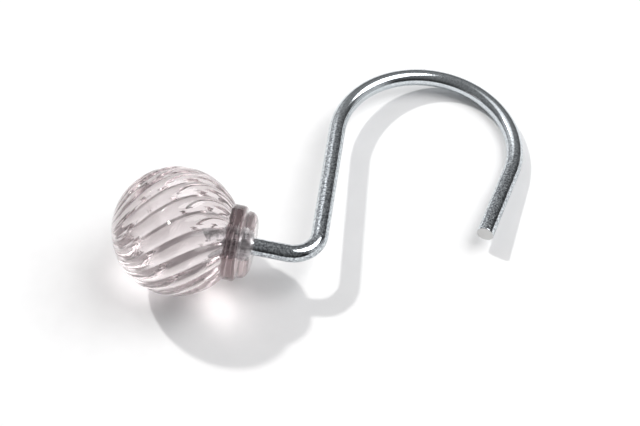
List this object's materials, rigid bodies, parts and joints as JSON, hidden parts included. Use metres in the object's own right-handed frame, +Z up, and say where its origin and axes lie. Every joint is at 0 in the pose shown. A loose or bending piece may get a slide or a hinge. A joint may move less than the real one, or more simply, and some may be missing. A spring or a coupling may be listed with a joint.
{
  "type": "curtain hook",
  "caption": "Bent round wire curtain hook: a wide arc goes over the rod, and the foot ends in a clear ball with twisted flutes on a collar that keeps the curtain's eyelet on.",
  "frame": {"origin": "centre of the rod arc, in the plane of the wire", "axes": "+Z up with the hook hanging and its leg upright, Y along the rod, +X from the ball and leg towards the tail"},
  "size_m": [0.0688, 0.022, 0.0564],
  "materials": {
    "plated_wire": "bright plated steel wire with a fine grain",
    "clear_acrylic": "clear moulded acrylic with a faint pink tint"
  },
  "bodies": {
    "root": {"wire_hook": "plated_wire", "fluted_ball": "clear_acrylic"}
  },
  "joints": []
}
